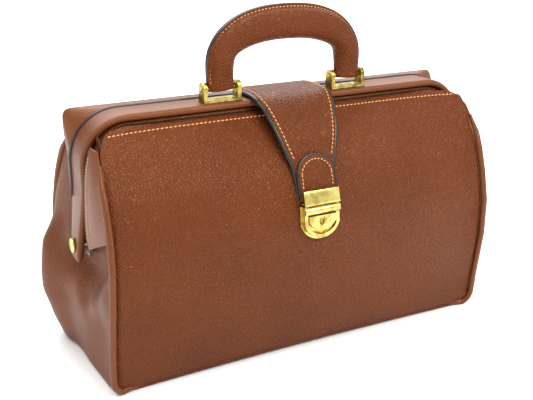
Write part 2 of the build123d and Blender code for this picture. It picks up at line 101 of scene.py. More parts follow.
def leather(name, dark, light, cell, depth, roughness, gloss):
    """Pebbled leather: warped cells with raised middles, and a slow change of colour."""
    warp_reach, pebble_edge, fine_share, crease_share = 0.0012, 0.3, 0.1, 0.16
    mat, tree, bsdf, place = new_material(name)
    links = tree.links
    warp = noise_texture(tree, place, scale=140.0, detail=2.0)
    warped = tree.nodes.new("ShaderNodeVectorMath")
    warped.operation = "MULTIPLY_ADD"
    warped.inputs[1].default_value = (warp_reach, warp_reach, warp_reach)
    links.new(warp.outputs["Color"], warped.inputs[0])
    links.new(place, warped.inputs[2])
    cells = tree.nodes.new("ShaderNodeTexVoronoi")
    cells.feature = "DISTANCE_TO_EDGE"
    cells.inputs["Scale"].default_value = 1.0 / (cell * MM)
    links.new(warped.outputs["Vector"], cells.inputs["Vector"])
    pebbles = tone_ramp(tree, cells.outputs["Distance"], 0.0, pebble_edge)
    pebbles.color_ramp.interpolation = "EASE"
    fine = noise_texture(tree, place, scale=900.0, detail=3.0)
    height = tree.nodes.new("ShaderNodeMath")
    height.operation = "MULTIPLY_ADD"
    height.inputs[1].default_value = fine_share
    links.new(fine.outputs["Fac"], height.inputs[0])
    links.new(pebbles.outputs["Color"], height.inputs[2])
    relief(tree, bsdf, height.outputs["Value"], depth, 0.0006)
    slow = noise_texture(tree, place, scale=14.0, detail=3.0)
    tone = tone_ramp(tree, slow.outputs["Fac"], 0.3, 0.72, dark, light)
    creases = tree.nodes.new("ShaderNodeMixRGB")
    creases.blend_type = "MULTIPLY"
    creases.inputs["Fac"].default_value = crease_share
    links.new(tone.outputs["Color"], creases.inputs["Color1"])
    links.new(pebbles.outputs["Color"], creases.inputs["Color2"])
    links.new(creases.outputs["Color"], bsdf.inputs["Base Color"])
    bsdf.inputs["Roughness"].default_value = roughness
    bsdf.inputs["Specular IOR Level"].default_value = gloss
    bsdf.inputs["Specular Tint"].default_value = WARM_SHEEN
    return mat


def plain(name, color, roughness, metallic=0.0, noise=0.0, scale=300.0, bump=0.0):
    """One colour with a fine mottle, and a fine bump where there is any."""
    mat, tree, bsdf, place = new_material(name)
    bsdf.inputs["Base Color"].default_value = color
    bsdf.inputs["Roughness"].default_value = roughness
    bsdf.inputs["Metallic"].default_value = metallic
    grain = noise_texture(tree, place, scale, detail=4.0)
    if noise:
        dark = (*[c * (1 - noise) for c in color[:3]], 1)
        light = (*[min(1, c * (1 + noise)) for c in color[:3]], 1)
        tone = tone_ramp(tree, grain.outputs["Fac"], 0.35, 0.65, dark, light)
        tree.links.new(tone.outputs["Color"], bsdf.inputs["Base Color"])
    if bump:
        relief(tree, bsdf, grain.outputs["Fac"], bump, 0.0004)
    return mat


def aged_brass(name, color, tarnish, roughness):
    """Brass with brown tarnish in clouds and a fine scratched grain."""
    mat, tree, bsdf, place = new_material(name)
    cloud = noise_texture(tree, place, scale=160.0, detail=5.0)
    tone = tone_ramp(tree, cloud.outputs["Fac"], 0.36, 0.56, tarnish, color)
    tree.links.new(tone.outputs["Color"], bsdf.inputs["Base Color"])
    bsdf.inputs["Metallic"].default_value = 1.0
    rough = tree.nodes.new("ShaderNodeMapRange")
    rough.inputs["To Min"].default_value = roughness + 0.18
    rough.inputs["To Max"].default_value = roughness - 0.06
    tree.links.new(cloud.outputs["Fac"], rough.inputs["Value"])
    tree.links.new(rough.outputs["Result"], bsdf.inputs["Roughness"])
    scratches = noise_texture(tree, place, scale=2200.0, detail=2.0)
    relief(tree, bsdf, scratches.outputs["Fac"], 0.12, 0.0001)
    return mat


LEATHER = leather(
    "leather", linear(90, 39, 12), linear(101, 46, 16), cell=2.2, depth=0.8, roughness=0.38, gloss=0.3
)
GUSSET = leather(
    "gusset_leather", linear(88, 41, 17), linear(102, 51, 24), cell=2.2, depth=0.4, roughness=0.45, gloss=0.3
)
SMOOTH = leather(
    "smooth_leather", linear(96, 47, 22), linear(108, 55, 28), cell=1.9, depth=0.25, roughness=0.38, gloss=0.5
)
SUEDE = plain("suede", linear(150, 112, 80), roughness=0.95, noise=0.18, scale=500.0, bump=0.3)
PAINT = plain("edge_paint", linear(24, 28, 23), roughness=0.35, noise=0.2, scale=200.0)
THREAD = plain("thread", linear(206, 150, 96), roughness=0.75, noise=0.12, scale=900.0)
BRASS = aged_brass("brass", linear(224, 206, 122), linear(178, 156, 84), roughness=0.26)
BRASS_DARK = aged_brass("brass_dark", linear(188, 166, 88), linear(118, 98, 42), roughness=0.3)
STEEL = plain("steel", linear(150, 150, 146), roughness=0.35, metallic=1.0, noise=0.08)
DARK_STEEL = plain("dark_steel", linear(52, 40, 30), roughness=0.5, metallic=0.6, noise=0.1)
BOARD = plain("board", linear(92, 70, 52), roughness=0.9, noise=0.15, scale=120.0)

# ---------------------------------------------------------------- mesh tools


def make_object(name, verts, faces, materials, face_materials=None):
    """A smooth mesh object from points in millimetres."""
    mesh = bpy.data.meshes.new(name)
    mesh.from_pydata([tuple(p) for p in np.asarray(verts, float) * MM], [], [tuple(f) for f in faces])
    for mat in materials:
        mesh.materials.append(mat)
    mesh.polygons.foreach_set("use_smooth", [True] * len(mesh.polygons))
    if face_materials is not None:
        mesh.polygons.foreach_set("material_index", list(face_materials))
    mesh.update()
    obj = bpy.data.objects.new(name, mesh)
    bpy.context.scene.collection.objects.link(obj)
    return obj


def fix_normals(obj):
    """Points every face of a closed mesh outwards."""
    bm = bmesh.new()
    bm.from_mesh(obj.data)
    bmesh.ops.recalc_face_normals(bm, faces=bm.faces)
    bm.to_mesh(obj.data)
    bm.free()
    return obj


def unit(vectors, axis=-1):
    """Vectors divided by their lengths."""
    length = np.linalg.norm(vectors, axis=axis, keepdims=True)
    return vectors / np.maximum(length, 1e-9)


def grid_normals(points):
    """Unit normals of a grid of points, by central differences."""
    return unit(np.cross(np.gradient(points, axis=0), np.gradient(points, axis=1)))


def leather_sheet(name, points, thickness, outward, materials):
    """A leather sheet: an outer face on the grid, an inner face a thickness behind it, and a closed rim.

    outward is a direction that says which side is out. The three materials are the outer face's, the
    inner face's and the rim's.
    """
    outer_slot, inner_slot, rim_slot = 0, 1, 2
    points = np.asarray(points, float)
    n = grid_normals(points)
    if np.sum(n.reshape(-1, 3) @ np.asarray(outward, float)) < 0:
        points = points[::-1]
        n = grid_normals(points)
    nu, nv = points.shape[:2]
    outer = points.reshape(-1, 3)
    inner = (points - n * thickness).reshape(-1, 3)
    rim = (
        [i * nv for i in range(nu)]
        + [(nu - 1) * nv + j for j in range(1, nv)]
        + [i * nv + nv - 1 for i in range(nu - 2, -1, -1)]
        + [j for j in range(nv - 2, 0, -1)]
    )
    count = nu * nv
    faces, slots = [], []
    for i in range(nu - 1):
        for j in range(nv - 1):
            a = i * nv + j
            faces.append((a, a + nv, a + nv + 1, a + 1))
            slots.append(outer_slot)
            faces.append((count + a, count + a + 1, count + a + nv + 1, count + a + nv))
            slots.append(inner_slot)
    for a, b in zip(rim, rim[1:] + rim[:1]):
        faces.append((a, count + a, count + b, b))
        slots.append(rim_slot)
    return make_object(name, np.concatenate([outer, inner]), faces, materials, slots)


def loft(name, rings, materials, slots=None):
    """A closed tube through rings of points; slots gives one material index for each point of a ring."""
    rings = np.asarray(rings, float)
    count, size = rings.shape[:2]
    faces, face_slots = [], []
    for i in range(count - 1):
        for j in range(size):
            k = (j + 1) % size
            faces.append((i * size + j, i * size + k, (i + 1) * size + k, (i + 1) * size + j))
            face_slots.append(slots[j] if slots else 0)
    faces.append(tuple(range(size - 1, -1, -1)))
    faces.append(tuple((count - 1) * size + j for j in range(size)))
    face_slots += [0, 0]
    return fix_normals(make_object(name, rings.reshape(-1, 3), faces, materials, face_slots))


def tube(name, path, radius, material, sides=10):
    """A round cord along a path; radius may be one number or one for each point."""
    level_up, steep_up = (0.13, 0.31, 0.94), (0.94, 0.31, 0.13)
    path = np.asarray(path, float)
    radius = np.broadcast_to(np.asarray(radius, float), (len(path),))
    along = np.gradient(path, axis=0)
    along /= np.linalg.norm(along, axis=1, keepdims=True)
    up = np.array(level_up if abs(path[0][2] - path[-1][2]) < 1 else steep_up)
    side = unit(np.cross(along, np.broadcast_to(up, path.shape)))
    top = np.cross(side, along)
    angles = np.linspace(0, 2 * math.pi, sides, endpoint=False)
    rings = [
        [p + r * (math.cos(a) * s + math.sin(a) * u) for a in angles]
        for p, s, u, r in zip(path, side, top, radius)
    ]
    return loft(name, rings, [material])


def resample(path, step):
    """Points at even steps along a path."""
    path = np.asarray(path, float)
    seg = np.linalg.norm(np.diff(path, axis=0), axis=1)
    along = np.concatenate([[0], np.cumsum(seg)])
    count = max(2, int(round(along[-1] / step)) + 1)
    return spread(along, path, np.linspace(0, along[-1], count))


def spread(have, values, want):
    """Rows of three values, read off at new places along them."""
    return np.stack([np.interp(want, have, values[:, k]) for k in range(3)], axis=1)


def respaced(values, count):
    """Rows of three values, spread evenly over a new count of rows."""
    return spread(np.linspace(0, 1, len(values)), values, np.linspace(0, 1, count))


def smooth_path(points, step, rounds=3):
    """A path through the points with its corners cut off in rounds."""
    path = np.asarray(points, float)
    for _ in range(rounds):
        out = [path[0]]
        for a, b in zip(path[:-1], path[1:]):
            out += [a * 0.75 + b * 0.25, a * 0.25 + b * 0.75]
        out.append(path[-1])
        path = np.array(out)
    return resample(path, step)


def stitches(name, path, normal, pitch, length, radius):
    """A line of saddle stitches: short, slanted, flattened beads, each half sunk into the leather."""
    lift, slant, flatness, droop, least_radius = 0.1, 0.16, 0.9, 0.25, 0.06
    around, along = 6, 4
    points = resample(path, pitch)
    normal = np.asarray(normal, float)
    if normal.ndim == 1:
        normals = np.broadcast_to(normal, points.shape)
    else:
        normals = respaced(normal, len(points))
    verts, faces = [], []
    for p, d, n in zip(points, np.gradient(points, axis=0), normals):
        d, n = unit(d), unit(n)
        d = unit(d + unit(np.cross(n, d)) * slant)
        s = np.cross(n, d)
        base = len(verts)
        for i in range(along + 1):
            f = i / along
            tip = abs(2 * f - 1)
            r = radius * math.sqrt(max(0.0, 1 - tip ** 2)) + least_radius
            for j in range(around):
                a = 2 * math.pi * j / around
                rise = lift + math.sin(a) * r * flatness - droop * tip * radius
                verts.append(p + n * rise + s * math.cos(a) * r + d * (f - 0.5) * length)
        for i in range(along):
            row, after = base + i * around, base + (i + 1) * around
            for j in range(around):
                k = (j + 1) % around
                faces.append((row + j, row + k, after + k, after + j))
        faces.append(tuple(base + j for j in range(around - 1, -1, -1)))
        faces.append(tuple(base + along * around + j for j in range(around)))
    return fix_normals(make_object(name, verts, faces, [THREAD]))


def table(z, rows):
    """A value read from rows of (height, value)."""
    return np.interp(z, [r[0] for r in rows], [r[1] for r in rows])


def soft_step(x, low, high):
    """0 below low, 1 above high, and smooth between them."""
    t = np.clip((np.asarray(x, float) - low) / (high - low), 0, 1)
    return t * t * (3 - 2 * t)


# ---------------------------------------------------------------- shared shapes

DEPTH_HALF = 73.5      # from the middle to the widest point of the front or back
WIDEST = 100.0         # the height of that point
WALL_RADIUS = 439.0    # the cross-section's curve below it
SHOULDER_RADIUS = {-1: 119.4, 1: 104.8}
CORNER = 14.0          # the lower corners of the front and back
BEND = 8.0             # the bend from the bottom up into the front and back
PANEL_LOW, PANEL_TOP = 0.9, 194.3
PIPE_INSET = 1.4       # the end leather stops this far inside the piping's line

# Where the front's and back's ends are, as (height, half width) and (height, depth)
EDGE_X = {
    -1: [(0, 168.5), (33, 168.8), (72, 168.4), (103, 167.2), (128, 166.2), (161, 166.0), (177, 164.0),
         (186, 162.5), (200, 160.0)],
    1: [(0, 168.5), (33, 168.8), (90, 168.4), (115, 166.5), (140, 164.5), (160, 162.5), (177, 160.0),
        (200, 156.0)],
}
FRONT_EDGE_Y = [(0, 61.5), (8, 64.5), (33, 66.8), (72, 72.7), (103, 73.9), (128, 69.7), (148, 63.6),
                (161, 58.0), (177, 49.5), (186, 43.8), (192, 38.0), (196, 33)]


def follow(obj, side):
    """Bakes a leather piece's placement into its mesh, the same way on either side."""
    if side < 0:
        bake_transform(obj)
    else:
        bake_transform(obj)
    return obj


def wall_depth(side, z):
    """The body's cross-section: a nearly straight lower wall and a round shoulder."""
    z = np.asarray(z, float)
    radius = np.where(z <= WIDEST, WALL_RADIUS, SHOULDER_RADIUS[side])
    return np.abs(DEPTH_HALF - radius + np.sqrt(np.maximum(radius ** 2 - (z - WIDEST) ** 2, 0)))


def edge_x(side, z):
    return table(z, EDGE_X[side])


def edge_depth(side, z):
    """How far the ends of the front or back are from the middle plane."""
    return table(z, FRONT_EDGE_Y) if side < 0 else wall_depth(side, z)


def corner_inset(z):
    """How far the rounded lower corners draw in at a height."""
    return CORNER - np.sqrt(np.maximum(0, CORNER ** 2 - np.maximum(0, CORNER - z) ** 2))


def arch(x):
    """The bottom lifts off the floor between its corners."""
    return 3.0 * (1 - np.clip(np.abs(x) / 150.0, 0, 1) ** 2)


def panel_row(side, z):
    """A row of the panel as (depth at the middle, depth at the ends, height), rounded under at the bottom."""
    if z >= BEND:
        return float(wall_depth(side, z)), float(edge_depth(side, z)), z
    a = (z / BEND) * math.pi / 2
    depth = float(wall_depth(side, BEND)) - BEND * (1 - math.sin(a))
    return depth, depth, PANEL_LOW + (BEND - PANEL_LOW) * (1 - math.cos(a))


def panel_grid(side, nu=150, nv=120):
    """The front or back panel, between the piping of both ends, from the bottom to the sewn top edge."""
    bend_rows = 9
    top_corner, top_draw, seam_width, seam_sink = 14.3, 12.0, 5.0, 2.6
    heights = np.concatenate(
        [np.linspace(0, 1, bend_rows + 1)[:-1] * BEND, np.linspace(BEND, PANEL_TOP, nv - bend_rows)]
    )
    u = np.linspace(-1, 1, nu)
    u = np.sign(u) * (1 - (1 - np.abs(u)) ** 1.25)
    grid = np.zeros((nu, nv, 3))
    for j, height in enumerate(heights):
        y_mid, y_edge, z = panel_row(side, height)
        top = np.clip((z - 180) / top_corner, 0, 1)
        half = float(edge_x(side, z)) - 1.2 - corner_inset(z) - top_draw * (1 - np.sqrt(1 - top ** 2 * 0.98))
        x = u * half
        w = np.abs(u) ** 6
        y = y_mid * (1 - w) + y_edge * w
        seam = soft_step(np.abs(x), half - seam_width, half)
        y = y - seam_sink * seam * soft_step(z, 2, 20) * (1 - soft_step(z, 160, 178))
        ripple = 0.5 * np.sin(x / 31.0 + z / 23.0) * np.sin(z / 37.0 + 1.0) * soft_step(z, 10, 40)
        grid[:, j, 0] = x
        grid[:, j, 1] = side * (y + ripple)
        grid[:, j, 2] = z + arch(x) * (1 - soft_step(z, 0, 30))
    return grid


def edge_line(side, end, low, high, step=2.0):
    """The piping's line up one end of the front or back panel."""
    z = np.arange(low, high, step)
    return np.stack([end * (edge_x(side, z) - corner_inset(z)), side * edge_depth(side, z), z], axis=1)


# ---------------------------------------------------------------- front and back panels with their piping

SEAM_ROW = -3          # the panel's row that is sewn along its top edge
PIPE_RADIUS = 2.7

for side, word in SIDES:
    grid = panel_grid(side)
    panel = leather_sheet(word + "_panel", grid, 2.4, (0, side, 0.2), [LEATHER, SUEDE, PAINT])
    follow(panel, side)
    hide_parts(word + "_lower_panel", word + "_panel_fold", word + "_upper_panel")
    normals = grid_normals(grid)
    if np.sum(normals[..., 1]) * side < 0:
        normals = -normals
    seam_normals = normals[4:-4, SEAM_ROW]
    seam_line = grid[4:-4, SEAM_ROW] + seam_normals * 0.05
    follow(stitches(word + "_top_stitches", seam_line, seam_normals, pitch=3.5, length=2.9, radius=0.5), side)
    for end, hand in HANDS:
        under = [(end * x, side * 58.0, 3.4) for x in (132.5, 144.5)]
        path = resample(np.concatenate([under, edge_line(side, end, low=2.6, high=176.0)]), 1.6)
        taper = 1 - 0.55 * soft_step(np.linspace(0, 1, len(path)), 0.9, 1.0)
        piping = tube(f"{word}_piping_{hand}", path, PIPE_RADIUS * taper, SMOOTH)
        follow(piping, side)
        if end < 0:
            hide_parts(word + "_piping", word + "_piping_folds", word + "_upper_piping")

bottom_x = np.linspace(-160, 160, 80)
bottom_y = np.linspace(-61.5, 61.5, 30)
bottom_grid = np.zeros((80, 30, 3))
bottom_grid[..., 0] = bottom_x[:, None]
bottom_grid[..., 1] = bottom_y[None, :]
bottom_grid[..., 2] = 0.8 + arch(bottom_x)[:, None] * 0.9
bottom = leather_sheet("bottom", bottom_grid, 2.4, (0, 0, -1), [LEATHER, SUEDE, LEATHER])
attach(bottom, "body")
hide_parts("bottom_panel")

# ---------------------------------------------------------------- end panels: soft folded leather

END_POINTS = [  # (Y, Z, distance out): the soft end panel's folds
    (60, 125, 169.0), (30, 128, 164.5), (18, 128, 161.0), (62, 86, 181.5), (58, 75, 184.5), (58, 64, 185.0),
    (60, 45, 183.0), (60, 20, 176.0), (58, 3, 171.0), (40, 93, 175.5), (17, 99, 170.0), (40, 106, 170.0),
    (20, 112, 164.5), (30, 150, 161.0), (36, 172, 160.0), (30, 77, 178.0), (1, 65, 172.8), (-8, 48, 172.2),
    (-30, 62, 171.2), (-55, 79, 170.6), (-8, 82, 159.5), (15, 86, 163.0), (-30, 82, 160.0), (-46, 94, 160.5),
    (-8, 60, 168.0), (4, 75, 168.2), (28, 87, 173.0), (-30, 71, 166.0), (-50, 87, 166.0),
    (-3, 30, 172.2), (-1, 10, 170.8), (0, 1, 169.5), (-35, 30, 166.8), (-38, 50, 167.0), (-35, 3, 168.5),
    (25, 50, 177.0), (25, 25, 174.0), (25, 2, 170.5), (-45, 112, 160.5), (-56, 130, 162.5), (-48, 150, 160.5),
    (-38, 172, 158.0), (-8, 96, 161.0), (-14, 120, 159.5), (-14, 150, 159.0), (-14, 180, 157.5),
    (5, 112, 159.5), (5, 150, 158.5), (5, 180, 156.5), (-20, 100, 160.5), (8, 98, 163.0),
]


def smooth_surface(points):
    """A thin-plate surface through (y, z, value) points, with a little slack."""
    data = np.asarray(points, float)
    place, value = data[:, :2] / 100.0, data[:, 2]
    slack = 2e-4

    def kernel(a, b):
        d2 = ((a[:, None, :] - b[None, :, :]) ** 2).sum(axis=2)
        return 0.5 * d2 * np.log(d2 + 1e-12)

    count = len(place)
    left = np.zeros((count + 3, count + 3))
    left[:count, :count] = kernel(place, place) + np.eye(count) * slack
    left[:count, count] = 1
    left[:count, count + 1:] = place
    left[count:, :count] = left[:count, count:].T
    weights = np.linalg.solve(left, np.concatenate([value, np.zeros(3)]))

    def at(y, z):
        want = np.stack([np.ravel(y), np.ravel(z)], axis=1) / 100.0
        out = kernel(want, place) @ weights[:count] + weights[count] + want @ weights[count + 1:]
        return out.reshape(np.shape(y))

    return at


end_points = list(END_POINTS)
for z in (2, 14, 28, 42, 56, 70, 84, 98, 112, 128, 144, 160, 176, 188):
    for side, _ in SIDES:
        end_points.append(
            (side * (float(edge_depth(side, z)) - PIPE_INSET), z, float(edge_x(side, z)) - 0.4)
        )
end_surface = smooth_surface(end_points)


def end_grid(side, end):
    """Half of one end panel, from the piping to the middle below the hinge, and to behind the legs above."""
    floor_round = 2.2
    heights = np.concatenate([np.linspace(0.8, 92, 60), np.linspace(94, 190, 50)])
    across = np.linspace(0, 1, 50)
    grid = np.zeros((len(across), len(heights), 3))
    for j, z in enumerate(heights):
        outer_y = float(edge_depth(side, z)) - PIPE_INSET
        above = soft_step(z, 90, 112)
        inner_y = (8.0 + 6.0 * above) if side < 0 else (-8.0 + 13.0 * above)
        y = side * (outer_y + (inner_y - outer_y) * across)
        x = end_surface(y, np.full_like(y, z)) - corner_inset(z) * (1 - soft_step(across, 0.0, 0.22))
        x = x - (floor_round - math.sqrt(max(0.0, floor_round ** 2 - max(0.0, 3 - z) ** 2)))
        grid[:, j, 0] = end * x
        grid[:, j, 1] = y
        grid[:, j, 2] = z
    return grid


def soften(obj, end):
    """Gives an end panel the smooth normals of its whole surface, on the outer face and the inner one."""
    co = np.array([v.co for v in obj.data.vertices]) / MM
    slope_y = end_surface(co[:, 1] + 0.5, co[:, 2]) - end_surface(co[:, 1] - 0.5, co[:, 2])
    slope_z = end_surface(co[:, 1], co[:, 2] + 0.5) - end_surface(co[:, 1], co[:, 2] - 0.5)
    facing = unit(np.stack([np.full(len(co), float(end)), -slope_y, -slope_z], axis=1))
    facing[len(co) // 2:] *= -1
    obj.data.normals_split_custom_set_from_vertices([tuple(v) for v in facing])


for side, word in SIDES:
    for end, hand in HANDS:
        half = leather_sheet(
            f"{word}_{hand}_gusset", end_grid(side, end), 1.8, (end, 0, 0), [GUSSET, SUEDE, GUSSET]
        )
        follow(half, side)
        soften(half, end)
        if end < 0:
            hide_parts(word + "_gusset_folds", word + "_upper_gussets")
        if side < 0:
            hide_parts(hand + "_gusset")

# Leather that closes the gap between each panel's top edge and its jaw

NECK_STRAIGHT = 134.0  # half of the straight run below the jaw
NECK_CORNER = 30.6     # the radius of its corners
NECK_TOP = 196.6
NECK_Y = {-1: -24.0, 1: 13.0}


def neck_target(u, side):
    """The point under the jaw that faces a point of the panel's top edge, from -1 to 1 along it."""
    straight_share = 0.82
    s = abs(u)
    if s < straight_share:
        return np.array([math.copysign(s / straight_share * NECK_STRAIGHT, u), NECK_Y[side], NECK_TOP])
    a = (s - straight_share) / (1 - straight_share) * math.pi / 2
    x = NECK_STRAIGHT + NECK_CORNER * math.sin(a)
    return np.array([math.copysign(x, u), NECK_Y[side], NECK_TOP - NECK_CORNER * (1 - math.cos(a))])


for side, word in SIDES:
    top_row = panel_grid(side)[:, SEAM_ROW]
    across = np.linspace(0, 1, 9)
    neck = np.zeros((9, len(top_row), 3))
    for k, p in enumerate(top_row):
        target = neck_target(2.0 * k / (len(top_row) - 1) - 1, side)
        start = p - np.array([0, 0, 1.4])
        neck[:, k] = start[None] * (1 - across)[:, None] + target[None] * across[:, None]
        neck[:, k, 2] -= 2.5 * np.sin(np.pi * across)
    follow(leather_sheet(word + "_neck", neck, 1.2, (0, side, 1), [SMOOTH, SUEDE, SMOOTH]), side)

# Sewn flaps that run down beside the front jaw's legs, from the front panel's top corners

FLAP_INNER = [(166.0, 36.5, 184.5), (168.6, 35.5, 177), (170.4, 33.5, 165), (171.2, 32.0, 148),
              (172.0, 30.5, 126), (172.2, 32.0, 114), (171.8, 35.0, 108.0)]
FLAP_OUTER = [(163.6, 44.5, 183.5), (164.6, 50.5, 175.5), (165.4, 54.5, 167), (166.0, 60.0, 154),
              (167.0, 65.5, 138), (167.4, 67.0, 130), (167.8, 67.5, 123.0)]


def flap_grid(end, rows=60, columns=14, swell=1.6):
    """A flap between its sewn inner edge and the piping, swelled out a little between them."""
    inner, outer = (respaced(smooth_path(line, 1.6), rows) for line in (FLAP_INNER, FLAP_OUTER))
    across = np.linspace(0, 1, columns)
    along = np.linspace(0, 1, rows)
    grid = inner[None] * (1 - across)[:, None, None] + outer[None] * across[:, None, None]
    grid[..., 0] += np.sin(np.pi * across)[:, None] * (swell * np.sin(np.pi * along) ** 0.5)[None]
    grid[..., 0] *= end
    grid[..., 1] *= -1
    return grid


for end, hand in HANDS:
    grid = flap_grid(end)
    follow(leather_sheet(f"front_{hand}_flap", grid, 1.6, (end, 0, 0), [SMOOTH, SUEDE, SMOOTH]), -1)
    follow(tube(f"front_{hand}_flap_edge", grid[0] - np.array([end * 0.8, 0, 0]), 0.95, PAINT, sides=8), -1)
    seam = grid[2, 6:-3] + np.array([end * 0.05, 0, 0])
    follow(stitches(f"front_{hand}_flap_stitches", seam, (end, 0, 0), pitch=2.6, length=2.0, radius=0.36), -1)

# ---------------------------------------------------------------- jaws

JAW_HALF, JAW_TOP = 171.0, 203.0
JAW_FOOT = 91.5        # where the legs end
LEG_TOP = 150.0        # below this height the legs spread
LEG_SPREAD = 5.6 / 59  # outwards for each millimetre down
JAW_CORNER = 37.0      # the jaws' corners along the seam between them
REAR_CORNER = 5.0      # the rear jaw's corners along its far edge


def jaw_path(corner):
    """The jaws' outline in XZ from one foot to the other, and its outward normals."""
    pts = [(-(JAW_HALF + (LEG_TOP - z) * LEG_SPREAD), z) for z in np.linspace(JAW_FOOT, LEG_TOP, 24)]
    pts += [(-JAW_HALF, z) for z in np.linspace(LEG_TOP + 2, JAW_TOP - corner, 14)]
    for a in np.linspace(0, math.pi / 2, 26)[1:]:
        pts.append((-JAW_HALF + corner - corner * math.cos(a), JAW_TOP - corner + corner * math.sin(a)))
    pts += [(x, JAW_TOP) for x in np.linspace(-JAW_HALF + corner, 0, 60)[1:]]
    left = np.array(pts)
    path = np.concatenate([left, left[:-1][::-1] * np.array([-1, 1])])
    t = unit(np.gradient(path, axis=0))
    return path, np.stack([-t[:, 1], t[:, 0]], axis=1)


def rounded_section(low, high, depth, radii, steps=5):
    """A rounded rectangle in (out, y): out runs from -depth to 0, and y from low to high.

    radii are the corner radii at (out, low), (out, high), (in, high) and (in, low).
    """
    corners = [(0, low, -1, 1), (0, high, -1, -1), (-depth, high, 1, -1), (-depth, low, 1, 1)]
    points = []
    for turn, ((out, y, in_out, in_y), r) in enumerate(zip(corners, radii)):
        for k in range(steps + 1):
            a = math.radians(90 * (turn - 1) + 90 * k / steps)
            points.append((out + in_out * r + r * math.cos(a), y + in_y * r + r * math.sin(a)))
    return points


def sweep_jaw(name, low, high, wall, radii, corner_far, leg):
    """A jaw's leather cover: a rounded section swept along the U.

    The U's corner radius changes from the one at low to corner_far at high. leg gives the cover's low
    and high sides and how far it sinks in, for a height.
    """
    near, normal_near = jaw_path(JAW_CORNER)
    far, normal_far = jaw_path(corner_far)
    foot_shrink = (0.45, 0.8, 0.95)
    mid = -wall / 2
    rings = []
    for i in range(len(near)):
        from_end = min(i, len(near) - 1 - i)
        shrink = foot_shrink[from_end] if from_end < len(foot_shrink) else 1.0
        ring = []
        for out, y in rounded_section(low, high, wall, radii):
            along = (y - low) / (high - low)
            share = 1 - along
            base = near[i] * share + far[i] * (1 - share)
            n = normal_near[i] * share + normal_far[i] * (1 - share)
            n = n / np.linalg.norm(n)
            y_low, y_high, sink = leg(base[1])
            centre = (y_low + y_high) / 2
            p = base + n * (mid + (out - mid) * shrink - sink)
            off_centre = (y_low + along * (y_high - y_low) - centre) * (0.5 + 0.5 * shrink)
            ring.append((p[0], centre + off_centre, p[1]))
        rings.append(ring)
    return loft(name, rings, [SMOOTH])


def front_leg(z):
    """The front leg narrows to its foot."""
    return -27.0 + 9.5 * (1 - float(soft_step(z, 93, 150))), -0.9, 0.0


def rear_leg(z):
    """The rear leg narrows away below the corner, and sinks behind the front one."""
    down = 1 - float(soft_step(z, 140, 190))
    return 0.9, 15.0 - 7.5 * down, 3.2 * down


front_jaw = sweep_jaw("front_jaw_leather", -27.0, -0.9, 5.6, (2.7, 1.0, 1.0, 2.4), JAW_CORNER, front_leg)
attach(front_jaw, "front_jaw")
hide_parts("front_jaw_cover", "front_frame")
rear_jaw = sweep_jaw("rear_jaw_leather", 0.9, 15.0, 8.0, (1.0, 1.6, 1.6, 1.0), REAR_CORNER, rear_leg)
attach(rear_jaw, "rear_jaw")
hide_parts("rear_jaw_cover", "rear_frame")

# Painted leather edges that stand up along the seam between the jaws
for body, y, z_low in (("front_jaw", -0.55, 138.0), ("rear_jaw", 0.55, 146.0)):
    path, normal = jaw_path(JAW_CORNER)
    use = path[:, 1] > z_low
    line = np.insert(path[use] + normal[use] * 0.15, 1, y, axis=1)
    wide = 0.85 + 0.5 * (1 - soft_step(line[:, 2], 160, 195))
    strip = tube(body + "_painted_edge", line, wide, PAINT, sides=8)
    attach(strip, body)

# ---------------------------------------------------------------- strap

STRAP_LINE = [(0, 4.4, 205.3), (0, -10, 205.6), (0, -29, 205.0), (0, -41, 197.5), (0, -53, 181.5),
              (0, -60.6, 163.0), (0, -65.6, 147.0), (0, -69.8, 129.4)]
STRAP_WIDTH = [(120, 16.0), (143, 16.5), (157, 18.5), (172, 23.5), (190, 28.5), (199, 31), (203, 33),
               (230, 33)]
STRAP_LIFT = 1.9       # from the strap's middle layer to its outer face
STITCH_INSET = 3.4

strap_middle = smooth_path(STRAP_LINE, 1.4, rounds=4)
strap_t = unit(np.gradient(strap_middle, axis=0))
strap_n = np.stack([strap_t[:, 2], -strap_t[:, 1]], axis=1)
strap_yz = strap_middle[:, 1:] + strap_n * STRAP_LIFT
strap_half = table(strap_middle[:, 2], STRAP_WIDTH)


def follow_strap(obj):
    """Bakes a strap piece's placement into its mesh."""
    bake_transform(obj)


across = np.linspace(-1, 1, 33)
strap_grid = np.zeros((33, len(strap_yz), 3))
round_edge = 0.9 * np.clip((np.abs(across) - 0.93) / 0.07, 0, 1) ** 2
strap_grid[..., 0] = across[:, None] * strap_half[None]
strap_grid[..., 1:] = strap_yz[None] - round_edge[:, None, None] * strap_n[None]
strap = leather_sheet("strap_leather", strap_grid, 3.4, (0, -0.6, 0.8), [LEATHER, SUEDE, PAINT])
follow_strap(strap)
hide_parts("strap")
sewn = slice(3, int(np.argmax(strap_yz[:, 1] < 163)))
for sign, hand in HANDS:
    line = np.insert(strap_yz, 0, sign * (strap_half - STITCH_INSET), axis=1)[sewn]
    seam_normals = np.insert(strap_n, 0, 0, axis=1)[sewn]
    seam = stitches(f"strap_stitches_{hand}", line, seam_normals, pitch=3.4, length=2.7, radius=0.45)
    follow_strap(seam)

for sign, hand in HANDS:
    line = np.insert(strap_middle[:, 1:], 0, sign * (strap_half - 0.2), axis=1)
    follow_strap(tube(f"strap_edge_{hand}", line, 1.55, PAINT, sides=10))

# The sewn-on tab over the strap's end, with a round top

TAB_TOP, TAB_LOW, TAB_HALF = 164.0, 131.0, 16.3
TAB_LIFT = 2.4         # the tab's outer face above the strap's
TAB_SEAM_INSET = 3.2


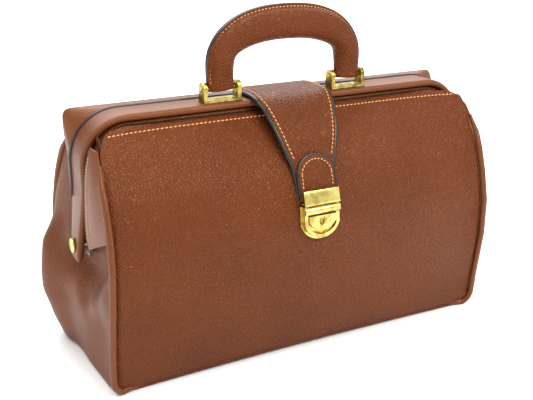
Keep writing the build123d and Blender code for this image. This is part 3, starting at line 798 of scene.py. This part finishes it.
def on_strap(x, z, lift):
    """A point at a height and a distance out from the strap's outer face, and the way that face points."""
    order = np.argsort(strap_yz[:, 1])
    y, ny, nz = (
        float(np.interp(z, strap_yz[order, 1], values[order]))
        for values in (strap_yz[:, 0], strap_n[:, 0], strap_n[:, 1])
    )
    return (x, y + ny * lift, z + nz * lift), (0, ny, nz)


def tab_crown(a):
    """The height of the tab's round top, from -1 to 1 across it."""
    return TAB_TOP - TAB_HALF * 0.86 * (1 - math.sqrt(max(0.0, 1 - a * a)))


tab_points = np.zeros((25, 40, 3))
for j, f in enumerate(np.linspace(0, 1, 40)):
    for i, a in enumerate(np.linspace(-1, 1, 25)):
        nearness = max(abs(a), f) if f > 0.6 else abs(a)
        sink = 0.7 * max(0.0, (nearness - 0.92) / 0.08) ** 2
        z = TAB_LOW + (tab_crown(a) - TAB_LOW) * f
        tab_points[i, j] = on_strap(a * TAB_HALF, z, TAB_LIFT - sink)[0]
tab = leather_sheet("tab_leather", tab_points, 2.3, (0, -1, 0.3), [LEATHER, SUEDE, PAINT])
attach(tab, "strap")
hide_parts("strap_tab")

tab_outline = [(-TAB_HALF, z) for z in np.linspace(136, 149, 8)]
tab_outline += [(a * TAB_HALF, max(tab_crown(a), 149.5)) for a in np.linspace(-1, 1, 40)]
tab_outline += [(TAB_HALF, z) for z in np.linspace(149, 136, 8)]
tab_rim = [on_strap(x, z, TAB_LIFT - 1.1)[0] for x, z in tab_outline]
tab_edge = tube("tab_edge", resample(tab_rim, 1.2), 1.05, PAINT, sides=8)
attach(tab_edge, "strap")

seam_half = TAB_HALF - TAB_SEAM_INSET
seam_base, seam_rise = 149.6, TAB_TOP - 3.4 - 149.6
arc = [(-seam_half, z) for z in np.linspace(141, 150, 5)]
for a in np.radians(np.linspace(180, 0, 24)):
    arc.append((seam_half * math.cos(a), seam_base + seam_rise * math.sin(a)))
arc += [(seam_half, z) for z in np.linspace(150, 141, 5)]
tab_line, tab_normals = zip(*(on_strap(x, z, TAB_LIFT + 0.05) for x, z in arc))
tab_seam = stitches("tab_stitches", tab_line, np.array(tab_normals), pitch=2.9, length=2.3, radius=0.42)
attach(tab_seam, "strap")

# ---------------------------------------------------------------- handle

HANDLE_Y = -18.0       # the handle's middle plane
HANDLE_HALF = 57.0
FLANGE = 2.6           # half the thickness of the stitched outer rim
FLANGE_START, FLANGE_END = 0.62, 0.82


def handle_path():
    """The handle's middle line in the XZ plane, from one foot to the other."""
    foot, rise, squareness = 229.0, 31.0, 0.86
    pts = [(-56.6, 211.5), (-56.8, 216), (-HANDLE_HALF, 222), (-HANDLE_HALF, 228)]
    for a in np.radians(np.linspace(180, 90, 34)[1:]):
        pts.append(
            (-HANDLE_HALF * abs(math.cos(a)) ** squareness, foot + rise * math.sin(a) ** squareness)
        )
    left = np.array(pts)
    right = left[:-1][::-1] * np.array([-1, 1])
    return resample(np.insert(np.concatenate([left, right]), 1, 0, axis=1), 2.2)


def handle_ring(p, outward, half_width, depth, angles):
    """A section of the handle: a padded roll with a thin rim along its outer side."""
    ring = []
    for a in angles:
        r, d = math.cos(a), math.sin(a)
        radial = half_width * (abs(r) ** 0.9) * (1 if r > 0 else -1)
        swell = depth * (abs(d) ** 1.05) * (1 if d > 0 else -1)
        if r > FLANGE_START:
            pinch = min(1.0, (r - FLANGE_START) / (FLANGE_END - FLANGE_START))
            limit = FLANGE + (depth - FLANGE) * (1 - pinch) ** 2
            swell = max(-limit, min(limit, swell))
        ring.append(p + outward * radial + np.array([0, swell + HANDLE_Y, 0]))
    return ring


line = handle_path()
t = unit(np.gradient(line, axis=0))
outward = np.stack([-t[:, 2], np.zeros(len(t)), t[:, 0]], axis=1)
half_widths = 11.3 + 2.5 * soft_step(line[:, 2], 240, 262)
depths = 5.6 + 4.9 * soft_step(line[:, 2], 214, 236)
angles = np.linspace(0, 2 * math.pi, 40, endpoint=False)
rings = [handle_ring(*place, angles) for place in zip(line, outward, half_widths, depths)]
rim_slots = [1 if math.cos(a) > 0.9 else 0 for a in angles]
handle = loft("handle_leather", rings, [LEATHER, PAINT], rim_slots)
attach(handle, "handle")
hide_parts("handle_cover", "handle_core")
for side, word in SIDES:
    seam_line = line + outward * (half_widths - 2.6)[:, None] + np.array([0, side * 2.75 + HANDLE_Y, 0])
    seam = stitches(
        f"handle_stitches_{word}", seam_line[3:-3], (0, side, 0), pitch=3.1, length=2.5, radius=0.48
    )
    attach(seam, "handle")

# ---------------------------------------------------------------- CAD nodes that show

NODE_MATERIALS = {
    "left_bracket": BRASS_DARK, "right_bracket": BRASS_DARK, "bracket_pins": BRASS_DARK,
    "bracket_screws": BRASS,
    "lock_back_plate": BRASS, "lock_inner_plate": STEEL, "lock_case": BRASS, "lock_bar": BRASS,
    "lock_slider": BRASS, "lock_cylinder": BRASS_DARK, "strap_plate": BRASS, "hinge_rivets": BRASS,
    "hinge_washers": STEEL, "hinge_plates": STEEL, "hinge_plate_pins": STEEL, "front_frame": STEEL,
    "rear_frame": STEEL, "front_frame_strip": DARK_STEEL, "rear_frame_strip": DARK_STEEL,
    "base_board": BOARD, "strap_anchor": SMOOTH, "handle_core": SUEDE,
}
for name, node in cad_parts.items():
    material = NODE_MATERIALS.get(name, SMOOTH)
    node.data.materials.clear()
    node.data.materials.append(material)
    if material in (BRASS, BRASS_DARK):
        weld = node.modifiers.new("weld", "WELD")
        weld.merge_threshold = 0.00001
        bevel = node.modifiers.new("bevel", "BEVEL")
        bevel.width = 0.0005
        bevel.segments = 2
        bevel.limit_method = "ANGLE"
        bevel.angle_limit = math.radians(35)

# ---------------------------------------------------------------- floor, light and camera

FLOOR_HALF = 6.0
LIGHTS = [  # (name, place, aim, size, power)
    ("top", (-0.15, 0.1, 1.5), (0, 0, 0.1), (1.5, 0.9), 22),
    ("left", (-1.5, -0.1, 0.35), (-0.1, 0, 0.08), (0.8, 0.5), 6),
    ("shoulder", (0.35, -1.0, 0.95), (0, 0, 0.15), (0.9, 0.3), 15),
    ("right", (1.3, -0.9, 0.7), (0.1, 0, 0.12), (0.5, 0.9), 3),
    ("backdrop", (1.2, 2.6, 2.0), (1.2, 2.6, 0), (4.5, 3.0), 160),
]
WORLD_STRENGTH = 0.6
CAMERA_PLACE = (-0.3268, -0.5985, 0.3445)
CAMERA_AIM = (0.4452, 0.8332, -0.3279)

scene = bpy.context.scene
floor_mesh = bpy.data.meshes.new("floor")
floor_corners = [(x * FLOOR_HALF, y * FLOOR_HALF, 0) for x, y in ((-1, -1), (1, -1), (1, 1), (-1, 1))]
floor_mesh.from_pydata(floor_corners, [], [(0, 1, 2, 3)])
floor_mesh.materials.append(plain("floor", linear(250, 250, 250), roughness=0.9))
floor = bpy.data.objects.new("floor", floor_mesh)
scene.collection.objects.link(floor)

world = bpy.data.worlds.new("studio")
scene.world = world
world.use_nodes = True
world.node_tree.nodes["Background"].inputs["Color"].default_value = (1, 1, 1, 1)
world.node_tree.nodes["Background"].inputs["Strength"].default_value = WORLD_STRENGTH

for name, place, aim, size, power in LIGHTS:
    data = bpy.data.lights.new(name, "AREA")
    data.shape = "RECTANGLE"
    data.size, data.size_y = size
    data.energy = power
    light = bpy.data.objects.new(name, data)
    scene.collection.objects.link(light)
    light.location = place
    light.rotation_euler = (Vector(aim) - Vector(place)).to_track_quat("-Z", "Y").to_euler()

scene.view_settings.view_transform = "Standard"

camera_data = bpy.data.cameras.new("camera")
camera_data.lens = 57.4
camera_data.sensor_width = 36.0
camera_data.clip_start = 0.01
camera = bpy.data.objects.new("camera", camera_data)
scene.collection.objects.link(camera)
forward = Vector(CAMERA_AIM).normalized()
right = forward.cross(Vector((0, 0, 1))).normalized()
up = right.cross(forward)
turned = Matrix((right, up, -forward)).transposed().to_4x4()
camera.matrix_world = Matrix.Translation(CAMERA_PLACE) @ turned
bpy.context.scene.camera = camera
